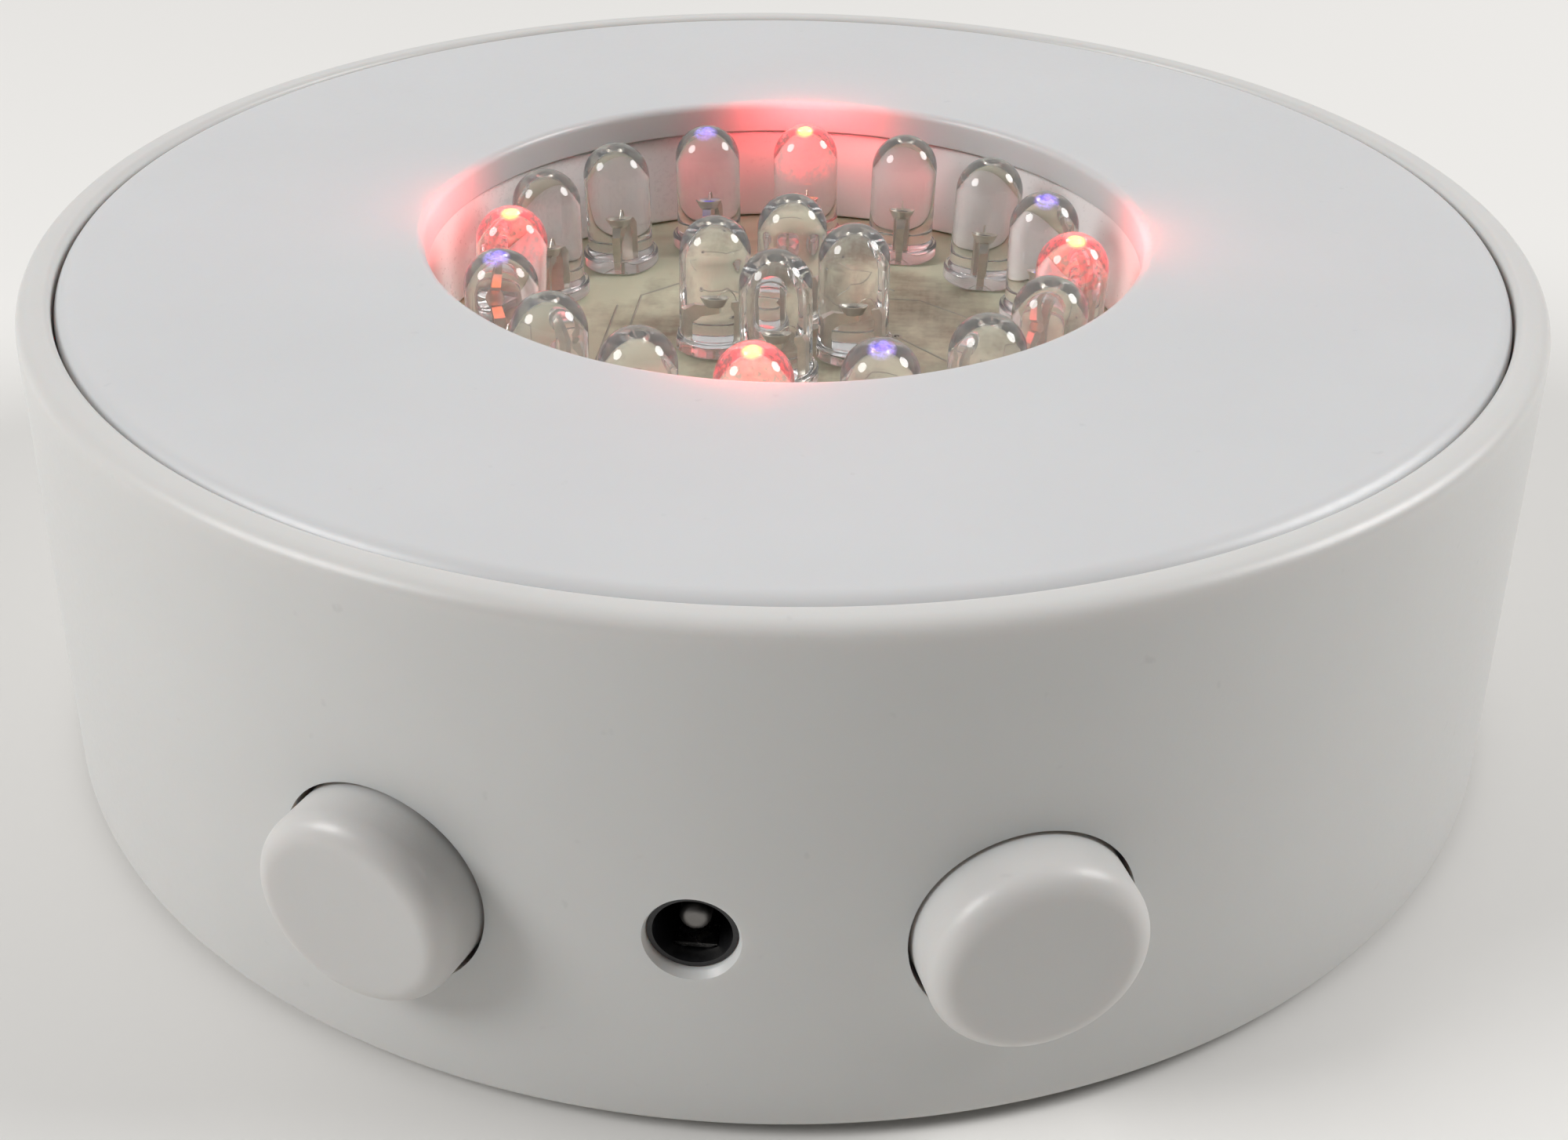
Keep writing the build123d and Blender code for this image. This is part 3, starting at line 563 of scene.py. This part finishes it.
def make_well_ring(material):
    """Wall of the light well with its flange and four legs."""
    flange_top = Z_DECK - DECK_THICKNESS
    outer = WELL_RADIUS + WELL_WALL
    outline = rounded([
        (WELL_RADIUS, Z_LED_BOARD + WELL_GAP, 0.3),
        (outer, Z_LED_BOARD + WELL_GAP, 0.3),
        (outer, flange_top - WELL_FLANGE, 0),
        (WELL_FLANGE_RADIUS, flange_top - WELL_FLANGE, 0.2),
        (WELL_FLANGE_RADIUS, flange_top, 0.2),
        (outer, flange_top, 0),
        (outer, Z_DECK - WELL_SEAM, 0.1),
        (WELL_RADIUS, Z_DECK - WELL_SEAM, 0.25),
    ])

    def build(bm):
        lathe(bm, divided(outline, 3), 300)
        for quarter in range(4):
            turn = quarter * pi / 2
            x, y = WELL_LEG_CIRCLE * cos(turn), WELL_LEG_CIRCLE * sin(turn)
            post(bm, WELL_LEG_RADIUS, Z_LED_BOARD, flange_top - WELL_FLANGE, x, y)

    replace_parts(new_object("light_well_ring_fine", build, material), "light_well_ring")


# ---------------------------------------------------------------- front controls
def make_buttons(material):
    """Round caps with a generous edge, a retaining flange and a stem, each riding on its own body."""
    face = wall_radius(Z_BUTTON) + BUTTON_PROUD
    outline = rounded([
        (0, STEM_END, 0),
        (STEM_RADIUS, STEM_END, 0.3),
        (STEM_RADIUS, BUTTON_FLANGE_FACE - BUTTON_FLANGE, 0),
        (BUTTON_FLANGE_RADIUS, BUTTON_FLANGE_FACE - BUTTON_FLANGE, 0.2),
        (BUTTON_FLANGE_RADIUS, BUTTON_FLANGE_FACE, 0.2),
        (BUTTON_RADIUS, BUTTON_FLANGE_FACE, 0),
        (BUTTON_RADIUS, face, BUTTON_EDGE),
        (0, face, 0),
    ], steps=14)
    for name, angle in (("power_button", -BUTTON_ANGLE), ("mode_button", BUTTON_ANGLE)):
        place = outward(angle, Z_BUTTON)

        def build(bm):
            lathe(bm, divided(outline, 1.5), 128, place)

        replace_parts(new_object(name + "_cap", build, material, name), name)


# ---------------------------------------------------------------- LEDs
def led_places():
    """Node, kind and place of every LED."""
    rings = (
        ("ring_led_{:02d}", RING_KINDS, RING_LED_RADIUS, RING_LED_LEANS, RING_LEAD_LINE),
        ("centre_led_{}", CENTRE_KINDS, CENTRE_LED_RADIUS, CENTRE_LED_LEANS, CENTRE_LEAD_LINE),
    )
    for label, kinds, radius, leans, lead_line in rings:
        for i, kind in enumerate(kinds):
            turn = 2 * pi * i / len(kinds)
            lean = Euler([radians(degrees) for degrees in leans[i]] + [0])
            place = (
                Matrix.Translation((radius * cos(turn), radius * sin(turn), LED_FOOT_Z))
                @ lean.to_matrix().to_4x4()
                @ Matrix.Rotation(radians(lead_line), 4, "Z")
            )
            yield label.format(i + 1), kind, place


def in_metres(place):
    """The same place with its offset in metres."""
    result = place.copy()
    result.translation = place.translation * MM
    return result


def lens_outline():
    """Half section of a lens: flange, straight body and domed tip."""
    shoulder = LED_HEIGHT - LED_BODY_RADIUS
    lower = rounded([
        (LED_BODY_RADIUS, shoulder, 0),
        (0, shoulder, 0),
        (0, 0, 0),
        (LED_FLANGE_RADIUS, 0, 0.15),
        (LED_FLANGE_RADIUS, LED_FLANGE, 0.2),
        (LED_BODY_RADIUS, LED_FLANGE, 0.15),
    ], steps=4)[2:]
    body = [Vector((LED_BODY_RADIUS, LED_FLANGE + (shoulder - LED_FLANGE) * t)) for t in (0.3, 0.6)]
    turns = (pi / 2 * k / 16 for k in range(17))
    dome = [Vector((LED_BODY_RADIUS * cos(t), shoulder + LED_BODY_RADIUS * sin(t))) for t in turns]
    dome[-1].x = 0
    return lower + body + dome


def lens_solid(bm):
    """Lens with a flat on the cathode side of its flange."""
    lathe(bm, lens_outline(), 64)
    flat_x = -LED_BODY_RADIUS - 0.05
    for vert in bm.verts:
        if vert.co.z < LED_FLANGE + 0.01 and vert.co.x < flat_x:
            vert.co.x = flat_x


def lead_frames(bm, place):
    """Cathode lead with its anvil and cup, anode lead with its wedge, and the bond wire between them."""
    inner = LED_LEAD_OFFSET - LED_LEAD / 2
    outer = LED_LEAD_OFFSET + LED_LEAD / 2
    half = LED_LEAD / 2
    anvil = CUP_LOW + 0.12
    cathode = [
        (-outer, LED_LEAD_END), (-inner, LED_LEAD_END), (-inner, 1.9), (-0.55, 2.5),
        (0.25, 2.75), (0.25, anvil), (-0.9, anvil), (-outer, 2.7),
    ]
    anode = [
        (inner, LED_LEAD_END), (outer, LED_LEAD_END), (outer, 3.1), (1.3, 3.6),
        (0.85, 3.6), (0.85, 3.2), (inner, 2.8),
    ]
    prism(bm, cathode, half, place)
    prism(bm, anode, half, place)
    cup = rounded([
        (0, CUP_LOW, 0),
        (0.4, CUP_LOW, 0.05),
        (0.66, CUP_HIGH, 0.04),
        (0.56, CUP_HIGH, 0.03),
        (0.3, CUP_HIGH - 0.35, 0.05),
        (0, CUP_HIGH - 0.35, 0),
    ], steps=3)
    lathe(bm, cup, 32, place)
    start, end = Vector((0.05, 0, CUP_HIGH - 0.12)), Vector((WIRE_END[0], 0, WIRE_END[1]))
    lift = Vector((0.1, 0, 0.75))
    bend = [start.lerp(end, t) + lift * (4 * t * (1 - t)) for t in (k / 8 for k in range(9))]
    tube(bm, [place @ point for point in bend], 0.035, 6)


def die(bm, place):
    """Bead of epoxy over the die, filling the cup."""
    low = CUP_HIGH - 0.36
    bead = rounded([
        (0, low, 0),
        (0.3, low, 0),
        (0.42, CUP_HIGH - 0.16, 0.08),
        (0, CUP_HIGH - 0.04, 0),
    ], steps=3)
    lathe(bm, bead, 20, place)


def make_leds(epoxies, dies, tin):
    """A lens for each LED, and the lead frames and dies inside them."""
    places_of = {kind: [] for kind in dies}
    places = list(led_places())
    for node, kind, place in places:
        lens = new_object(node + "_lens", lens_solid, epoxies[kind], place=in_metres(place))
        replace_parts(lens, node)
        places_of[kind].append(place)

    def all_frames(bm):
        for _, _, place in places:
            lead_frames(bm, place)

    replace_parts(new_object("led_lead_frames_fine", all_frames, tin), "led_lead_frames")
    for kind, material in dies.items():

        def all_dies(bm):
            for place in places_of[kind]:
                die(bm, place)

        new_object(f"led_dies_{kind}", all_dies, material)


# ---------------------------------------------------------------- LED board
def make_board_details(copper, hole_shade):
    """Tracks that show as fine ridges under the solder mask, and a few plated vias, each with a dark disc
    painted in its hole as the hole's shade.
    """
    z = Z_LED_BOARD
    buried = z - 0.1

    def tracks(bm):
        for route in TRACK_ROUTES:
            for (x0, y0), (x1, y1) in zip(route, route[1:]):
                start, end = Vector((x0, y0, z - TRACK_DEPTH)), Vector((x1, y1, z - TRACK_DEPTH))
                tube(bm, [start, end], TRACK_RADIUS, 8)

    def via_rings(bm):
        ring = rounded([
            (VIA_HOLE_RADIUS, buried, 0),
            (VIA_RADIUS, buried, 0),
            (VIA_RADIUS, z + 0.04, 0.03),
            (VIA_HOLE_RADIUS, z + 0.04, 0.03),
        ], steps=2)
        for x, y in VIAS:
            lathe(bm, ring, 20, Matrix.Translation((x, y, 0)))

    # a dark disc in each via at the board's face: painted shade where the open hole would be
    def via_shade_discs(bm):
        radius = VIA_SHADE_RADIUS
        top = z + 0.015
        shade_disc = rounded([(0, buried, 0), (radius, buried, 0), (radius, top, 0), (0, top, 0)], steps=2)
        for x, y in VIAS:
            lathe(bm, shade_disc, 16, Matrix.Translation((x, y, 0)))

    new_object("led_board_tracks", tracks, copper)
    new_object("led_board_vias", via_rings, copper)
    # dark discs of painted shade in the via holes
    new_object("led_board_via_shade_discs", via_shade_discs, hole_shade)


# ---------------------------------------------------------------- stage and light
def make_stage():
    """Plain pale floor."""
    s = Shader("floor_paint", FLOOR_TONE, Roughness=0.7)
    s.shader.inputs["Specular IOR Level"].default_value = 0.1
    s.colour(s.ramp(s.noise(3, 3), [(0.3, scaled(FLOOR_TONE, 0.99)), (0.7, scaled(FLOOR_TONE, 1.01))]))
    mesh = bpy.data.meshes.new("floor")
    bm = bmesh.new()
    bmesh.ops.create_grid(bm, x_segments=4, y_segments=4, size=FLOOR_HALF)
    bm.to_mesh(mesh)
    bm.free()
    floor = bpy.data.objects.new("floor", mesh)
    mesh.materials.append(s.material)
    bpy.context.scene.collection.objects.link(floor)


def area_light(name, at, aim, size, power):
    """Round soft lamp at a place, turned towards its aim."""
    data = bpy.data.lights.new(name, "AREA")
    data.shape = "ELLIPSE"
    data.size, data.size_y = size
    data.energy = power
    light = bpy.data.objects.new(name, data)
    bpy.context.scene.collection.objects.link(light)
    light.location = at
    light.rotation_euler = (Vector(aim) - Vector(at)).to_track_quat("-Z", "Y").to_euler()


def make_light():
    """Two soft lamps left and right, and a dome of light that is darkest towards the front right."""
    world = bpy.data.worlds.new("studio")
    world.use_nodes = True
    tree = world.node_tree
    direction = tree.nodes.new("ShaderNodeTexCoord").outputs["Generated"]
    towards_dark = tree.nodes.new("ShaderNodeVectorMath")
    towards_dark.operation = "DOT_PRODUCT"
    towards_dark.inputs[1].default_value = (sin(DARK_ANGLE), -cos(DARK_ANGLE), DARK_DIP)
    tree.links.new(direction, towards_dark.inputs[0])
    height = tree.nodes.new("ShaderNodeSeparateXYZ")
    tree.links.new(direction, height.inputs["Vector"])

    def mapped(source, *limits):
        node = tree.nodes.new("ShaderNodeMapRange")
        for socket, value in zip(MAP_RANGE_SOCKETS, limits):
            node.inputs[socket].default_value = value
        tree.links.new(source, node.inputs["Value"])
        return node.outputs["Result"]

    brightest = tree.nodes.new("ShaderNodeMath")
    brightest.operation = "MAXIMUM"
    dome = mapped(towards_dark.outputs["Value"], -0.35, 0.5, DOME_LIGHT, 0.0)
    horizon = mapped(height.outputs["Z"], 0.02, 0.14, HORIZON_LIGHT, 0.0)
    tree.links.new(dome, brightest.inputs[0])
    tree.links.new(horizon, brightest.inputs[1])
    background = tree.nodes["Background"]
    background.inputs["Color"].default_value = (1.0, 1.0, 1.0, 1)
    tree.links.new(brightest.outputs["Value"], background.inputs["Strength"])
    bpy.context.scene.world = world
    area_light("lamp_left", (-0.75, -0.28, 0.56), LAMP_AIM, LAMP_SIZE, 4.9)
    area_light("lamp_right", (0.79, 0.16, 0.57), LAMP_AIM, LAMP_SIZE, 5.6)
    view = bpy.context.scene.view_settings
    view.view_transform = "Standard"
    view.look = "None"
    view.exposure = 0.0


def make_led_glow():
    """Red light that the lit LEDs throw outwards on the wall of the well, from just above each dome."""
    for node, kind, place in led_places():
        if kind != "red":
            continue
        data = bpy.data.lights.new(node + "_glow", "SPOT")
        data.energy = GLOW_LAMP_POWER
        data.color = (1.0, 0.09, 0.10)
        data.shadow_soft_size = GLOW_LAMP_RADIUS
        data.spot_size = radians(150)
        data.spot_blend = 1.0
        glow = bpy.data.objects.new(node + "_glow", data)
        bpy.context.scene.collection.objects.link(glow)
        tip = place @ Vector((0, 0, LED_HEIGHT + 0.1))
        away = Vector((tip.x, tip.y, 0)).normalized()
        glow.location = (tip - away * 0.5) * MM
        glow.rotation_euler = (away + Vector((0, 0, -0.4))).to_track_quat("-Z", "Y").to_euler()
        glow.visible_camera = False
        glow.visible_glossy = False
        glow.visible_transmission = False


# ---------------------------------------------------------------- the object
def finish_cad_nodes(shell, black, nickel):
    """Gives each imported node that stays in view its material."""
    stain_centre = (3 * MM, 2 * MM, Z_LED_BOARD * MM)
    mask = circuit_board("board_mask", (0.64, 0.635, 0.47), (0.28, 0.225, 0.16), stain_centre)
    control_mask = circuit_board("control_board_mask", (0.03, 0.16, 0.06), (0.02, 0.10, 0.04))
    zinc = metal("zinc_screw", (0.62, 0.62, 0.63), 0.3)
    rubber = rubber_like("foot_rubber", (0.03, 0.03, 0.03))
    # the socket's pin is painted dark, as painted shade for the pin deep inside the socket; the blade
    # keeps its bright plating
    pin_painted_dark = metal("pin_painted_dark", (0.24, 0.23, 0.22), 0.4)
    finishes = {
        "base_cover": shell, "battery_door": shell,
        "led_board": mask, "control_board": control_mask,
        "dc_socket_pin": pin_painted_dark, "dc_socket_blade": nickel,
        "battery_lead_red": moulded_plastic("red_pvc", (0.5, 0.02, 0.02)),
        "battery_lead_black": moulded_plastic("black_pvc", (0.02, 0.02, 0.02)),
        "led_leads": moulded_plastic("white_pvc", (0.7, 0.7, 0.68)),
        "aa_cell_1": cell_sleeve("cell_sleeve_right", 1),
        "aa_cell_2": cell_sleeve("cell_sleeve_left", -1),
        "aa_cell_3": cell_sleeve("cell_sleeve_right_2", 1),
    }
    for name, obj in nodes.items():
        if name in finishes:
            material = finishes[name]
        elif name.endswith("_screws"):
            material = zinc
        elif name.startswith("rubber_foot"):
            material = rubber
        elif name.startswith("battery_"):
            material = nickel
        else:
            material = black
        obj.data.materials.clear()
        obj.data.materials.append(material)


make_camera()
make_stage()
make_light()
make_led_glow()

shell_abs = moulded_plastic("shell_abs", (0.64, 0.635, 0.62), glow_through=0.35)
plate_abs = moulded_plastic("plate_abs", (0.635, 0.635, 0.64), glow_through=0.35)
# the well's plastic is whiter than the shell's, and its tone is set higher still as painted light,
# brightening the well's shaded wall
well_abs_painted_bright = moulded_plastic("well_abs_painted_bright", (0.88, 0.86, 0.855), gloss=0.3)
button_abs = moulded_plastic("button_abs", (0.61, 0.60, 0.585), gloss=0.36, glow_through=0.35)
black_nylon = rubber_like("black_nylon", (0.010, 0.010, 0.011), 0.45)
nickel_plate = metal("nickel_plate", (0.82, 0.80, 0.76), 0.18)
tinned_copper = metal("tinned_copper", (0.80, 0.75, 0.66), 0.30)
track_mask = circuit_board("track_mask", (0.40, 0.385, 0.31), (0.22, 0.17, 0.14))

finish_cad_nodes(shell_abs, black_nylon, nickel_plate)
make_housing(shell_abs)
make_top_plate(plate_abs)
make_well_ring(well_abs_painted_bright)
make_buttons(button_abs)
make_leds(
    {
        "clear": lens_epoxy("clear_epoxy"),
        # the blue and red lenses get the lit die's image painted as emission near the tip
        "blue": lens_epoxy("blue_led_epoxy", ((0.20, 0.12, 1.0), (0.30, 0.22, 1.0), 0.35, 1.0, 0.55)),
        "red": lens_epoxy("red_led_epoxy", ((1.0, 0.46, 0.05), (1.0, 0.03, 0.05), 0.55, 4.2, 4.0)),
    },
    {
        "red": die_light("red_die", (1.0, 0.20, 0.05), 5.0),
        "blue": die_light("blue_die", (0.16, 0.10, 1.0), 0.5),
        "clear": die_light("dark_die", (0.75, 0.72, 0.60), 0.0),
    },
    tinned_copper,
)
make_board_details(track_mask, black_nylon)
